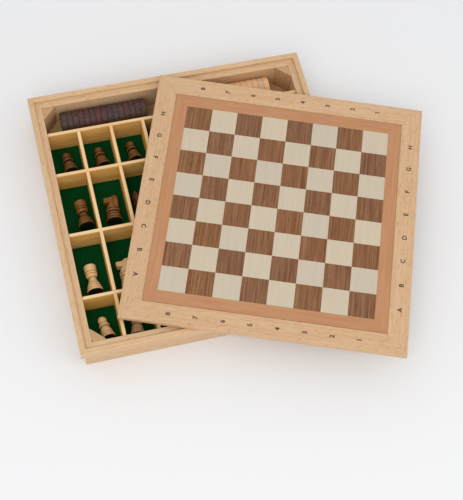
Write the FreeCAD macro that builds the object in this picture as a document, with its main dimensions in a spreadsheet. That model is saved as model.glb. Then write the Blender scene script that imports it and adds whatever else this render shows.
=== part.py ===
"""A boxed chess and nine men's morris set: a square tray, its lift-off two-sided board, and the men.

The tray stands on its floor at z = 0, centred on the origin, with +Y away from the player who
opens it. The board lies askew on the tray's rim, as it does when it has just been taken off.
All sizes are millimetres. Every driving size is a cell of the sheet, and the pieces are bound to
those cells by expressions.
"""
import FreeCAD
import Part
import math
import os

# Driving sizes of the tray, the board and where the board lies.
SIZES = {
    "tray_side": 300,
    "tray_height": 40,
    "lip_width": 6,
    "ledge_width": 7,
    "rabbet_depth": 3.5,
    "rim_height": 10.5,
    "wall_thickness": 8.5,
    "floor_thickness": 5,
    "floor_housing": 5,
    "felt_thickness": 0.8,
    "block_leg": 15,
    "block_relief": 1.6,
    "divider_thickness": 3.6,
    "divider_drop": 2,
    "halving_clearance": 0.05,
    "trough_width": 31.5,
    "pawn_cell": 47,
    "officer_cell": 68.25,
    "lid_clearance": 0.75,
    "lid_thickness": 6,
    "lid_rail_width": 21,
    "groove_depth": 5,
    "board_recess": 0.5,
    "veneer_thickness": 0.6,
    "border_width": 13.8,
    "morris_margin": 20.75,
    "morris_pitch": 31.25,
    "morris_line": 5.8,
    "morris_dot_radius": 6.8,
    "lid_shift_right": 77,
    "lid_shift_near": 38,
    "draught_radius": 12.5,
    "draught_thickness": 6.1,
    "draught_gap": 0.1,
    "man_felt": 0.6,
    "man_felt_inset": 0.7,
    "rest_gap": 0.25,
    "block_clearance": 1,
    "ball_sink": 0.7,
    "bishop_mitre_radius": 5,
    "bishop_mitre_rise": 7.2,
    "king_cross_height": 6,
    "king_cross_span": 5.4,
    "king_cross_bar": 1.9,
    "knight_chest": 4.8,
    "knight_back": 6,
    "knight_poll_front": 1,
    "knight_poll_back": 6.4,
    "knight_neck_rise": 12.4,
    "knight_neck_half": 3.9,
    "knight_poll_half": 3.5,
    "knight_muzzle_length": 11.4,
    "knight_cheek": 6.6,
    "knight_nose": 5.6,
    "knight_nose_half": 2.9,
    "knight_ear_rise": 2.9,
    "knight_ear_foot": 6.6,
    "knight_ear_tip": 3.4,
}

# Turned profiles from the felt up: section, its lower and upper radius (one where it is straight), length.
PROFILES = {
    "pawn": (
        ("foot", (7.2,), 2.2),
        ("bell", (7.0, 5.0), 9.8),
        ("waist", (3.3,), 2.0),
        ("collar", (5.6, 4.7), 3.8),
    ),
    "rook": (
        ("foot", (8.2,), 2.6),
        ("bell", (7.7, 3.9), 12.6),
        ("waist", (3.6,), 1.2),
        ("bowl", (4.2, 6.0), 3.2),
        ("cup", (6.0, 6.1), 5.6),
        ("crown", (6.2, 6.4), 4.7),
    ),
    "knight": (
        ("foot", (8.2,), 2.6),
        ("bell", (7.6, 6.6), 7.4),
        ("waist", (6.0,), 1.0),
        ("collar", (7.3, 7.0), 5.4),
    ),
    "bishop": (
        ("foot", (8.2,), 2.6),
        ("bell", (7.8, 3.9), 14.6),
        ("waist", (3.5,), 1.2),
        ("collar", (5.4, 5.0), 2.0),
        ("neck", (3.7, 3.9), 1.8),
    ),
    "queen": (
        ("foot", (8.7,), 2.8),
        ("bell", (8.2, 4.2), 17.2),
        ("waist", (3.8,), 1.2),
        ("collar", (5.8, 5.4), 2.2),
        ("neck", (4.0, 4.3), 3.6),
        ("crown", (4.5, 6.5), 9.0),
        ("cap", (5.0, 2.8), 2.4),
    ),
    "king": (
        ("foot", (8.7,), 2.8),
        ("bell", (8.2, 4.3), 18.4),
        ("waist", (3.9,), 1.2),
        ("collar", (6.0, 5.6), 2.4),
        ("neck", (4.2, 4.5), 4.0),
        ("crown", (4.7, 6.5), 8.6),
        ("cap", (5.4, 2.2), 2.6),
    ),
}
BALL_RADII = {"pawn": 4.7, "bishop": 1.6, "queen": 2.4}
STRAIGHT_ENDS = ("radius",)
TAPERED_ENDS = ("low", "top")

# Turns in degrees: the board clockwise on the rim, and the horse's nose below level.
TURNS = {"lid_turn": 21, "knight_muzzle_dip": 3}

# How the men of each row lie in their cells: the share of the spare length that is left at the foot, the
# share of the spare width that shifts the foot towards the middle of the tray, the head's lean outwards, and
# whether every other man lies the other way.
LIES = {
    "dark_pawn": {"foot": 0.6, "side": 0.3, "lean": 6, "alternate": False},
    "dark_officer": {"foot": 0.4, "side": 0.75, "lean": 4, "alternate": True},
    "light_officer": {"foot": 0.29, "side": -0.05, "lean": 1, "alternate": False},
    "light_pawn": {"foot": 0.33, "side": 0.36, "lean": 8, "alternate": True},
}

# The share of its row's sideways shift that a kind of man takes, where that isn't all of it.
SHIFT_SHARES = {"knight": 0, "bishop": -0.8}

# The share of the trough's spare length between each stack of draughts and the block at its end.
STACK_SHARES = {"dark": 0.05, "light": 0.17}

OFFICERS = ("rook", "knight", "bishop", "queen", "king", "bishop", "knight", "rook")
COLUMNS = 8
DRAUGHTS = 15
QUARTERS = (("front", 0), ("right", 90), ("rear", 180), ("left", 270))
FULL_TURN = 360
UP = FreeCAD.Vector(0, 0, 1)
RIGHT = FreeCAD.Vector(1, 0, 0)

for kind, sections in PROFILES.items():
    for section, radii, length in sections:
        ends = TAPERED_ENDS if len(radii) > 1 else STRAIGHT_ENDS
        for end, radius in zip(ends, radii):
            SIZES["%s_%s_%s" % (kind, section, end)] = radius
        SIZES["%s_%s_length" % (kind, section)] = length
for kind, radius in BALL_RADII.items():
    SIZES[kind + "_ball_radius"] = radius

doc = FreeCAD.newDocument("GameSet")
sheet = doc.addObject("Spreadsheet::Sheet", "Sizes")
for row, (alias, value) in enumerate((SIZES | TURNS).items(), start=1):
    sheet.set("A%d" % row, alias)
    sheet.set("B%d" % row, str(value))
    sheet.setAlias("B%d" % row, alias)
doc.recompute()

# Lengths that follow from the driving sizes, as expressions.
OUTER = "(Sizes.tray_side / 2)"
INNER = "(Sizes.tray_side / 2 - Sizes.lip_width - Sizes.ledge_width)"
RABBET = "(Sizes.tray_side / 2 - Sizes.lip_width)"
RIM_TOP = "Sizes.tray_height"
WALL_TOP = "(Sizes.tray_height - Sizes.rim_height)"
LEDGE = "(Sizes.tray_height - Sizes.rabbet_depth)"
FLOOR_TOP = "Sizes.floor_thickness"
FELT_TOP = "(Sizes.floor_thickness + Sizes.felt_thickness)"
DIVIDER_TOP = "(%s - Sizes.divider_drop)" % LEDGE
DIVIDER_HALF = "((%s + %s) / 2)" % (FELT_TOP, DIVIDER_TOP)
CELLS_LONG = "(2 * %s - Sizes.trough_width - %d * Sizes.divider_thickness)" % (INNER, len(LIES))
PAWN_CELL = "(%s * Sizes.pawn_cell / (Sizes.pawn_cell + Sizes.officer_cell) / 2)" % CELLS_LONG
OFFICER_CELL = "(%s / 2 - %s)" % (CELLS_LONG, PAWN_CELL)
CELL_WIDTH = "((2 * %s - %d * Sizes.divider_thickness) / %d)" % (INNER, COLUMNS - 1, COLUMNS)
LID_HALF = "(%s - Sizes.lid_clearance)" % RABBET
OPENING = "(%s - Sizes.lid_rail_width)" % LID_HALF
HOUSED = "(%s + Sizes.groove_depth)" % OPENING
FIELD = "(%s - Sizes.border_width)" % OPENING
SQUARE = "(2 * %s / %d)" % (FIELD, COLUMNS)
CORE_LOW = "(Sizes.board_recess + Sizes.veneer_thickness)"
CORE_HIGH = "(Sizes.lid_thickness - Sizes.board_recess - Sizes.veneer_thickness)"
VENEER_TOP = "(Sizes.lid_thickness - Sizes.board_recess)"

nodes = []


def bind(piece, **sizes):
    """Bind properties of a piece to expressions."""
    for name, expression in sizes.items():
        piece.setExpression(name, expression)


def move(piece, x="0", y="0", z="0", turn=None):
    """Bind a piece's place, and its turn about the vertical in degrees."""
    for axis, expression in (("x", x), ("y", y), ("z", z)):
        piece.setExpression("Placement.Base." + axis, expression)
    if turn is not None:
        piece.Placement = FreeCAD.Placement(piece.Placement.Base, FreeCAD.Rotation(UP, 1))
        piece.setExpression("Placement.Rotation.Angle", turn)


def box(name, x, y, z):
    """A box between two expressions on each axis."""
    piece = doc.addObject("Part::Box", name)
    sides = {}
    for side, (low, high) in (("Length", x), ("Width", y), ("Height", z)):
        sides[side] = "(%s) - (%s)" % (high, low)
    bind(piece, **sides)
    move(piece, x[0], y[0], z[0])
    return piece


def mitred_bar(name, outer, inner, low, high):
    """The front bar of a mitred square frame, between two half widths and two heights."""
    piece = doc.addObject("Part::Wedge", name)
    bind(piece, Ymin="-" + outer, Xmin="-" + outer, Xmax=outer)
    bind(piece, Ymax="-" + inner, X2min="-" + inner, X2max=inner)
    bind(piece, Zmin=low, Z2min=low, Zmax=high, Z2max=high)
    return piece


def corner_prism(name, leg, low, high):
    """A right-angled prism in the front left corner of the tray's inside."""
    piece = doc.addObject("Part::Wedge", name)
    bind(piece, Ymin="-" + INNER, Xmin="-" + INNER, Xmax="%s - %s" % (leg, INNER))
    bind(piece, Ymax="%s - %s" % (leg, INNER), X2min="-" + INNER, X2max="-" + INNER)
    bind(piece, Zmin=low, Z2min=low, Zmax=high, Z2max=high)
    return piece


def cut(name, base, tools):
    """A piece less one tool or several."""
    tool = tools[0]
    if len(tools) > 1:
        tool = group(name + "_tools", tools)
    piece = doc.addObject("Part::Cut", name)
    piece.Base = base
    piece.Tool = tool
    return piece


def fuse(name, pieces):
    """Several pieces made one solid."""
    piece = doc.addObject("Part::MultiFuse", name)
    piece.Shapes = pieces
    piece.Refine = True
    return piece


def group(name, pieces):
    """Several separate solids held as one object."""
    piece = doc.addObject("Part::Compound", name)
    piece.Links = pieces
    return piece


def node(piece):
    """Mark a finished sub-part, named for its label."""
    piece.Label = piece.Name
    nodes.append(piece)
    return piece


def size(name):
    """A driving size read back from the sheet."""
    return float(sheet.get(name))


def measure(expression):
    """The value of an expression on the sheet's cells."""
    return float(sheet.evalExpression(expression))


def build_tray_case():
    """The floor, the mitred walls that house it, the rabbeted rim on them and the corner blocks."""
    let_in = "(%s + Sizes.floor_housing)" % INNER
    span = ("-" + let_in, let_in)
    node(box("tray_floor", span, span, ("0", FLOOR_TOP)))
    wall_outer = "(%s + Sizes.wall_thickness)" % INNER
    for side, quarter in QUARTERS:
        board = mitred_bar("wall_board_" + side, wall_outer, INNER, "0", WALL_TOP)
        housing = mitred_bar("wall_housing_" + side, let_in, INNER, "0", FLOOR_TOP)
        wall = node(cut("wall_" + side, board, [housing]))
        move(wall, turn=str(quarter))
        blank = mitred_bar("rim_blank_" + side, OUTER, INNER, WALL_TOP, RIM_TOP)
        rabbet = mitred_bar("rim_rabbet_" + side, RABBET, INNER, LEDGE, RIM_TOP)
        rim = node(cut("rim_" + side, blank, [rabbet]))
        move(rim, turn=str(quarter))
    blocks = []
    for side, quarter in QUARTERS:
        prism = corner_prism("block_prism_" + side, "Sizes.block_leg", FLOOR_TOP, LEDGE)
        relief = corner_prism("block_relief_" + side, "Sizes.block_relief", FLOOR_TOP, LEDGE)
        block = cut("corner_block_" + side, prism, [relief])
        move(block, turn=str(quarter))
        blocks.append(block)
    node(group("corner_blocks", blocks))


def row_faces():
    """Far and near faces of the four cross dividers, from the far one to the near one."""
    faces = []
    far = "(%s - Sizes.trough_width)" % INNER
    for clear in (PAWN_CELL, OFFICER_CELL, OFFICER_CELL, PAWN_CELL):
        near = "(%s - Sizes.divider_thickness)" % far
        faces.append((far, near))
        far = "(%s - %s)" % (near, clear)
    return faces


def column_faces():
    """Left and right faces of the seven lengthwise dividers."""
    faces = []
    for column in range(1, COLUMNS):
        left = "(%d * (%s + Sizes.divider_thickness) - Sizes.divider_thickness - %s)" % (
            column,
            CELL_WIDTH,
            INNER,
        )
        faces.append((left, "(%s + Sizes.divider_thickness)" % left))
    return faces


def eased(faces):
    """A slot's sides: a divider's faces with the halving clearance on each."""
    low, high = faces
    return ("%s - Sizes.halving_clearance" % low, "%s + Sizes.halving_clearance" % high)


def build_lining_and_dividers():
    """The felt, the trough's divider, and the dividers halved over each other."""
    rows = row_faces()
    columns = column_faces()
    across = ("-" + INNER, INNER)
    along = ("-" + INNER, rows[0][1])
    height = (FELT_TOP, DIVIDER_TOP)
    sheet_of_felt = box("felt_sheet", across, along, (FLOOR_TOP, FELT_TOP))
    notches = []
    for side, quarter in QUARTERS[:2]:
        notch = corner_prism("felt_notch_" + side, "Sizes.block_leg", FLOOR_TOP, FELT_TOP)
        move(notch, turn=str(quarter))
        notches.append(notch)
    node(cut("felt_lining", sheet_of_felt, notches))
    trough_face = (rows[0][1], rows[0][0])
    node(box("draughts_divider", across, trough_face, (FLOOR_TOP, DIVIDER_TOP)))
    under = (FELT_TOP, "%s + Sizes.halving_clearance" % DIVIDER_HALF)
    over = ("%s - Sizes.halving_clearance" % DIVIDER_HALF, DIVIDER_TOP)
    for number, (far, near) in enumerate(rows[1:], start=1):
        board = box("row_board_%d" % number, across, (near, far), height)
        slots = []
        for slot, faces in enumerate(columns, start=1):
            slots.append(box("row_slot_%d_%d" % (number, slot), eased(faces), (near, far), under))
        node(cut("row_divider_%d" % number, board, slots))
    strips = []
    for number, faces in enumerate(columns, start=1):
        board = box("column_board_%d" % number, faces, along, height)
        slots = []
        for slot, (far, near) in enumerate(rows[1:], start=1):
            slots.append(box("column_slot_%d_%d" % (number, slot), faces, eased((near, far)), over))
        strips.append(cut("column_strip_%d" % number, board, slots))
    node(group("column_dividers", strips))


def lay_on_rim(piece, quarter=0):
    """Place a piece of the board where the board lies, on the rim and turned clockwise."""
    move(
        piece,
        "Sizes.lid_shift_right",
        "-Sizes.lid_shift_near",
        RIM_TOP,
        "%d - Sizes.lid_turn" % (quarter + FULL_TURN),
    )
    return node(piece)


def build_board_frame():
    """The board's mitred rails, grooved for the core, and the core in the grooves."""
    for side, quarter in QUARTERS:
        bar = mitred_bar("lid_bar_" + side, LID_HALF, OPENING, "0", "Sizes.lid_thickness")
        groove = mitred_bar("lid_groove_" + side, HOUSED, OPENING, CORE_LOW, CORE_HIGH)
        lay_on_rim(cut("lid_rail_" + side, bar, [groove]), quarter)
    housed = ("-" + HOUSED, HOUSED)
    core = box("core_panel", housed, housed, (CORE_LOW, CORE_HIGH))
    lay_on_rim(group("board_core", [core]))


def build_chess_face():
    """The border strips and the squares, a light one at the near left corner."""
    strips = []
    for side, quarter in QUARTERS:
        strip = mitred_bar("border_" + side, OPENING, FIELD, CORE_HIGH, VENEER_TOP)
        move(strip, turn=str(quarter))
        strips.append(strip)
    lay_on_rim(group("chess_border", strips))
    squares = {"light": [], "dark": []}
    for column in range(COLUMNS):
        for row in range(COLUMNS):
            colour = "dark" if (column + row) % 2 else "light"
            x = ["%d * %s - %s" % (edge, SQUARE, FIELD) for edge in (column, column + 1)]
            y = ["%d * %s - %s" % (edge, SQUARE, FIELD) for edge in (row, row + 1)]
            name = "square_%d_%d" % (column, row)
            squares[colour].append(box(name, x, y, (CORE_HIGH, VENEER_TOP)))
    for colour, veneers in squares.items():
        lay_on_rim(group(colour + "_squares", veneers))


def build_morris_face():
    """The underside's veneer, with the three squares, four bridges and twenty-four points let in."""
    depth = ("Sizes.board_recess", CORE_LOW)
    halves = ("(%s - Sizes.morris_margin)" % OPENING, "(2 * Sizes.morris_pitch)", "Sizes.morris_pitch")
    half_line = "Sizes.morris_line / 2"
    inlay = []
    for ring, half in enumerate(halves):
        for side, quarter in QUARTERS:
            length = ("-%s" % half, half)
            width = ("-%s - %s" % (half, half_line), "-%s + %s" % (half, half_line))
            line = box("morris_line_%d_%s" % (ring, side), length, width, depth)
            turned_line = group("morris_side_%d_%s" % (ring, side), [line])
            move(turned_line, turn=str(quarter))
            inlay.append(turned_line)
            for point, x in enumerate(("-" + half, "0")):
                dot = doc.addObject("Part::Cylinder", "morris_dot_%d_%s_%d" % (ring, side, point))
                bind(dot, Radius="Sizes.morris_dot_radius", Height="Sizes.veneer_thickness")
                move(dot, x, "-" + half, "Sizes.board_recess")
                turned_dot = group("morris_point_%d_%s_%d" % (ring, side, point), [dot])
                move(turned_dot, turn=str(quarter))
                inlay.append(turned_dot)
    for side, quarter in QUARTERS:
        across = ("-" + half_line, half_line)
        bridge = box("morris_bridge_" + side, across, ("-" + halves[0], "-" + halves[2]), depth)
        turned_bridge = group("morris_link_" + side, [bridge])
        move(turned_bridge, turn=str(quarter))
        inlay.append(turned_bridge)
    lines = fuse("morris_lines", inlay)
    span = ("-" + OPENING, OPENING)
    veneer = box("morris_veneer", span, span, depth)
    lay_on_rim(cut("morris_panel", veneer, [lines]))
    lay_on_rim(group("morris_inlay", [lines]))


def section_start(kind, section):
    """The height at which a turned section starts, as an expression."""
    start = "Sizes.man_felt"
    for name, _radii, _length in PROFILES[kind]:
        if name == section:
            return start
        start += " + Sizes.%s_%s_length" % (kind, name)
    return start


def radius_cells(kind, section, radii):
    """The cells of a section's lower and upper radius, which are one cell where it is straight."""
    ends = TAPERED_ENDS if len(radii) > 1 else STRAIGHT_ENDS
    return ["%s_%s_%s" % (kind, section, end) for end in (ends[0], ends[-1])]


def turned_sections(kind):
    """The cones and cylinders of a turned man, standing on its felt at the origin."""
    pieces = []
    for section, radii, _length in PROFILES[kind]:
        low, top = radius_cells(kind, section, radii)
        name = "%s_%s" % (kind, section)
        if low == top:
            piece = doc.addObject("Part::Cylinder", name)
            bind(piece, Radius="Sizes." + low)
        else:
            piece = doc.addObject("Part::Cone", name)
            bind(piece, Radius1="Sizes." + low, Radius2="Sizes." + top)
        bind(piece, Height="Sizes.%s_length" % name)
        move(piece, z=section_start(kind, section))
        pieces.append(piece)
    return pieces


def ball(kind, height):
    """The ball on top of a man, sunk a little into what carries it."""
    piece = doc.addObject("Part::Sphere", kind + "_ball")
    radius = "Sizes.%s_ball_radius" % kind
    bind(piece, Radius=radius)
    move(piece, z="%s + %s - Sizes.ball_sink" % (height, radius))
    return piece


def mitre_head():
    """The bishop's head: an upright egg on the neck."""
    piece = doc.addObject("Part::Ellipsoid", "bishop_mitre")
    bind(piece, Radius1="Sizes.bishop_mitre_rise")
    bind(piece, Radius2="Sizes.bishop_mitre_radius", Radius3="Sizes.bishop_mitre_radius")
    top = section_start("bishop", None)
    move(piece, z="%s + Sizes.bishop_mitre_rise - 2 * Sizes.ball_sink" % top)
    return piece


def king_cross():
    """The two bars of the king's cross."""
    foot = "%s - Sizes.ball_sink" % section_start("king", None)
    bar = ("-Sizes.king_cross_bar / 2", "Sizes.king_cross_bar / 2")
    span = ("-Sizes.king_cross_span / 2", "Sizes.king_cross_span / 2")
    middle = "%s + Sizes.king_cross_height / 2" % foot
    post = box("king_post", bar, bar, (foot, "%s + Sizes.king_cross_height" % foot))
    arm = box("king_arm", span, bar, (middle, "%s + Sizes.king_cross_bar" % middle))
    return [post, arm]


def knight_head():
    """The horse's neck, muzzle and ears, facing left: three wedges that taper along their length."""
    foot = "%s - Sizes.ball_sink" % section_start("knight", None)
    poll = "%s + Sizes.knight_neck_rise" % foot
    neck = doc.addObject("Part::Wedge", "knight_neck")
    bind(neck, Ymin="0", Ymax="Sizes.knight_neck_rise")
    bind(neck, Xmin="-Sizes.knight_chest", Xmax="Sizes.knight_back")
    bind(neck, X2min="-Sizes.knight_poll_front", X2max="Sizes.knight_poll_back")
    bind(neck, Zmin="-Sizes.knight_neck_half", Zmax="Sizes.knight_neck_half")
    bind(neck, Z2min="-Sizes.knight_poll_half", Z2max="Sizes.knight_poll_half")
    upright = FreeCAD.Rotation(RIGHT, 90)
    neck.Placement = FreeCAD.Placement(FreeCAD.Vector(), upright)
    move(neck, z=foot)
    muzzle = doc.addObject("Part::Wedge", "knight_muzzle")
    bind(muzzle, Ymin="0", Ymax="Sizes.knight_muzzle_length")
    bind(muzzle, Xmin="-Sizes.knight_cheek", Xmax="0")
    bind(muzzle, X2min="-Sizes.knight_nose", X2max="0")
    bind(muzzle, Zmin="-Sizes.knight_poll_half", Zmax="Sizes.knight_poll_half")
    bind(muzzle, Z2min="-Sizes.knight_nose_half", Z2max="Sizes.knight_nose_half")
    forward = FreeCAD.Rotation(FreeCAD.Vector(0, -1, 0), 90 + size("knight_muzzle_dip"))
    muzzle.Placement = FreeCAD.Placement(FreeCAD.Vector(), forward.multiply(upright))
    move(muzzle, "Sizes.knight_poll_back / 2", "0", poll)
    ears = doc.addObject("Part::Wedge", "knight_ears")
    bind(ears, Ymin="-Sizes.ball_sink", Ymax="Sizes.knight_ear_rise")
    bind(ears, Xmin="-Sizes.knight_ear_foot", Xmax="0", X2min="-Sizes.knight_ear_tip", X2max="0")
    bind(ears, Zmin="-Sizes.knight_poll_half", Zmax="Sizes.knight_poll_half")
    bind(ears, Z2min="-Sizes.knight_nose_half", Z2max="Sizes.knight_nose_half")
    ears.Placement = FreeCAD.Placement(FreeCAD.Vector(), upright)
    move(ears, "Sizes.knight_poll_back", "0", poll)
    return [neck, muzzle, ears]


def build_man_patterns():
    """One upright pattern for each kind of man: its turned wood and the felt under it."""
    patterns = {}
    for kind in PROFILES:
        wood = turned_sections(kind)
        if kind == "knight":
            wood += knight_head()
        elif kind == "king":
            wood += king_cross()
        elif kind == "bishop":
            wood.append(mitre_head())
            tip = "%s + 2 * Sizes.bishop_mitre_rise - 2 * Sizes.ball_sink"
            wood.append(ball(kind, tip % section_start(kind, None)))
        elif kind in BALL_RADII:
            wood.append(ball(kind, section_start(kind, None)))
        disc = doc.addObject("Part::Cylinder", kind + "_felt")
        bind(disc, Radius="Sizes.%s_foot_radius - Sizes.man_felt_inset" % kind, Height="Sizes.man_felt")
        patterns[kind] = [fuse(kind + "_wood", wood), disc]
    return patterns


def outline(kind):
    """Heights and radii of the edges of a man's turned sections, and of its head's widest place and tip."""
    places = []
    for section, radii, _length in PROFILES[kind]:
        low, top = radius_cells(kind, section, radii)
        start = measure(section_start(kind, section))
        places.append((start, size(low)))
        places.append((start + size("%s_%s_length" % (kind, section)), size(top)))
    crown = measure(section_start(kind, None))
    if kind == "knight":
        crown += size("knight_neck_rise")
        places.append((crown, size("knight_poll_half")))
        places.append((crown + size("knight_ear_rise"), size("knight_nose_half")))
    elif kind == "king":
        places.append((crown + size("king_cross_height"), size("king_cross_bar") / 2))
    elif kind == "bishop":
        places.append((crown + size("bishop_mitre_rise"), size("bishop_mitre_radius")))
        crown += 2 * size("bishop_mitre_rise")
    if kind in BALL_RADII:
        radius = size(kind + "_ball_radius")
        places.append((crown + radius - size("ball_sink"), radius))
        places.append((crown + 2 * radius, 0))
    return places


def resting(kind):
    """How a man lies on its side: its dip in degrees, and its axis's height above the felt at the foot.

    It lies on the widest edge of its foot, and dips until the first place further up meets the felt.
    """
    places = outline(kind)
    foot_edge = measure(section_start(kind, PROFILES[kind][1][0]))
    foot = max(radius for along, radius in places if along <= foot_edge)
    dip = min(math.atan2(foot - radius, along - foot_edge) for along, radius in places if along > foot_edge)
    height = max(radius * math.cos(dip) + along * math.sin(dip) for along, radius in places)
    return math.degrees(dip), height


def lay_man(name, pattern, kind, row, column, faces):
    """Lay a man on its side in its cell, its foot towards the player and its head away."""
    near_face, far_face = [measure(face) for face in faces]
    lie = LIES[row]
    inward = 1 if column < COLUMNS / 2 else -1
    from_end = min(column, COLUMNS - 1 - column)
    if lie["alternate"] and from_end % 2:
        inward = -inward
    dip, height = resting(kind)
    cell = measure(CELL_WIDTH)
    foot = size("%s_foot_radius" % kind)
    side_room = cell / 2 - foot
    shift = SHIFT_SHARES.get(kind, 1) * lie["side"] * side_room
    if faces[0] == "-" + INNER and from_end == 0:
        clear_of_block = size("block_leg") + size("block_clearance") - side_room - shift
        near_face += max(0, clear_of_block)
    length = max(along for along, _radius in outline(kind))
    x = (column + 0.5) * cell + column * size("divider_thickness") - measure(INNER) + inward * shift
    y = near_face + lie["foot"] * (far_face - near_face - length)
    z = measure(FELT_TOP) + size("rest_gap") + height
    flat = FreeCAD.Rotation(RIGHT, -90 - dip)
    man = node(group(name, pattern))
    man.Placement = FreeCAD.Placement(
        FreeCAD.Vector(x, y, z), FreeCAD.Rotation(UP, inward * lie["lean"]).multiply(flat)
    )


def build_men():
    """Thirty-two men, one in each cell: dark in the two far rows and light in the two near ones."""
    patterns = build_man_patterns()
    far_faces = [near for _far, near in row_faces()]
    near_faces = [far for far, _near in row_faces()[1:]] + ["-" + INNER]
    for row, near, far in zip(LIES, near_faces, far_faces):
        colour, rank = row.split("_")
        for column in range(COLUMNS):
            if rank == "pawn":
                kind = rank
                name = "%s_%d" % (row, column + 1)
            else:
                kind = OFFICERS[column]
                name = "%s_%s" % (colour, kind)
                if OFFICERS.count(kind) > 1:
                    name += "_left" if column < COLUMNS / 2 else "_right"
            lay_man(name, patterns[kind], kind, row, column, (near, far))


def build_draughts():
    """Two stacks of draughts on edge in the trough, dark at the left and light at the right."""
    pitch = "(Sizes.draught_thickness + Sizes.draught_gap)"
    far = "(%s - Sizes.rest_gap - Sizes.draught_radius)" % INNER
    height = "(%s + Sizes.rest_gap + Sizes.draught_radius)" % FLOOR_TOP
    stack = "(%d * %s)" % (DRAUGHTS, pitch)
    end = "(%s - Sizes.block_leg)" % INNER
    spare = "(2 * (%s - %s))" % (end, stack)
    starts = {
        "dark_draughts": "(%s * %s - %s)" % (STACK_SHARES["dark"], spare, end),
        "light_draughts": "(%s - %s * %s - %s)" % (end, STACK_SHARES["light"], spare, stack),
    }
    for name, start in starts.items():
        discs = []
        for number in range(DRAUGHTS):
            disc = doc.addObject("Part::Cylinder", "%s_%d" % (name, number + 1))
            bind(disc, Radius="Sizes.draught_radius", Height="Sizes.draught_thickness")
            on_edge = FreeCAD.Rotation(FreeCAD.Vector(0, 1, 0), 90)
            disc.Placement = FreeCAD.Placement(FreeCAD.Vector(), on_edge)
            move(disc, "%s + %d * %s" % (start, number, pitch), far, height)
            discs.append(disc)
        node(group(name, discs))


def export_nodes():
    """Check every object of the document, then write each sub-part's solids."""
    doc.recompute()
    for piece in doc.Objects:
        if "Invalid" in piece.State or "Error" in piece.State:
            raise RuntimeError("%s did not compute: %s" % (piece.Name, piece.State))
    for piece in nodes:
        if piece.Shape.isNull() or not piece.Shape.isValid() or not piece.Shape.Solids:
            raise RuntimeError("%s has no valid solid" % piece.Label)
    os.makedirs("parts", exist_ok=True)
    for piece in nodes:
        piece.Shape.exportStep("parts/%s.step" % piece.Label)
    print("%d sub-parts written" % len(nodes))


build_tray_case()
build_lining_and_dividers()
build_board_frame()
build_chess_face()
build_morris_face()
build_men()
build_draughts()
export_nodes()
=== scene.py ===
"""Looks for a boxed chess and nine men's morris set: a square tray, its two-sided board, and the men.

Run as a script inside Blender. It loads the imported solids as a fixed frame, in metres, builds each piece's
finished surface in that frame, and sets the stage. It is laid out as an add-on: a panel in the sidebar
lists the sizes, the colours and the operators, one for each group of pieces and one for the stage.
"""
import math
from typing import NamedTuple

import bpy
import numpy as np
from bpy.props import FloatProperty, FloatVectorProperty, PointerProperty
from mathutils import Matrix, Vector


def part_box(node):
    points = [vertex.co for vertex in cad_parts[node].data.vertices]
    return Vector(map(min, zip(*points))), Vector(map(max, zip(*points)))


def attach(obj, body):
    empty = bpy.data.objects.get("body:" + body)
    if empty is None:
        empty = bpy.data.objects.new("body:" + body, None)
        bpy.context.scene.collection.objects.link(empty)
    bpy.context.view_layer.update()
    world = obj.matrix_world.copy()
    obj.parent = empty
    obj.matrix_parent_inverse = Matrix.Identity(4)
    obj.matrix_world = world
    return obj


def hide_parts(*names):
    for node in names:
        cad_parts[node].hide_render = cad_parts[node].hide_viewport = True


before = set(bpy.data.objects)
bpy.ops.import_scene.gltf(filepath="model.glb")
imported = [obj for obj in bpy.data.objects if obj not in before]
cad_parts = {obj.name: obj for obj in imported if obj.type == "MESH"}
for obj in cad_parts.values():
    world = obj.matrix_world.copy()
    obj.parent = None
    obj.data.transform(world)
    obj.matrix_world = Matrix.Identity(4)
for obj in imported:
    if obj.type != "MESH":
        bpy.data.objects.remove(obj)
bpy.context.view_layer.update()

bl_info = {
    "name": "Boxed chess and morris set",
    "version": (1, 0, 0),
    "blender": (4, 5, 0),
    "location": "3D View > Sidebar > Game set",
    "description": "Builds the finished surfaces of a boxed chess and nine men's morris set",
    "category": "Object",
}

MM = 0.001
RANDOM_SEED = 7
QUARTERS = ("front", "right", "rear", "left")
LETTERS = "ABCDEFGH"
COLUMNS = 8
DISCS = 15
DISC_GAP = 0.1 * MM
MITRE_GAP = 0.02 * MM
SHARP_ANGLE = math.radians(38)

# Points round a turned piece, and steps round the edge of a box.
AROUND = 56
BOX_STEPS = 3

# Points that lie within this of a plane count as lying in it.
LEVEL = MM / 10

# How far along a turned piece its hollows are judged, and how much a printed mark's strokes are widened.
HOLLOW_REACH = 1.3 * MM
BOLD_SHARE = 0.03

random = np.random.default_rng(RANDOM_SEED)


def linear(code):
    """A colour from its sRGB hex code, in linear light."""
    channels = np.array([int(code[start:start + 2], 16) for start in (0, 2, 4)]) / 255
    low = channels / 12.92
    high = ((channels + 0.055) / 1.055) ** 2.4
    return tuple(np.where(channels <= 0.04045, low, high).tolist())


def colour(name, description, code):
    """A colour that a user can change."""
    return FloatVectorProperty(
        name=name, description=description, default=linear(code), size=3, subtype="COLOR", min=0, max=1
    )


def length(name, description, millimetres):
    """A length that a user can change."""
    return FloatProperty(
        name=name, description=description, default=millimetres * MM, min=0, unit="LENGTH", precision=4
    )


def bearing(name, description, degrees):
    """An angle that a user can change."""
    return FloatProperty(name=name, description=description, default=math.radians(degrees), subtype="ANGLE")


def amount(name, description, value, unit="NONE"):
    """A strength, power or focal length that a user can change."""
    return FloatProperty(name=name, description=description, default=value, min=0, unit=unit)


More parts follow.
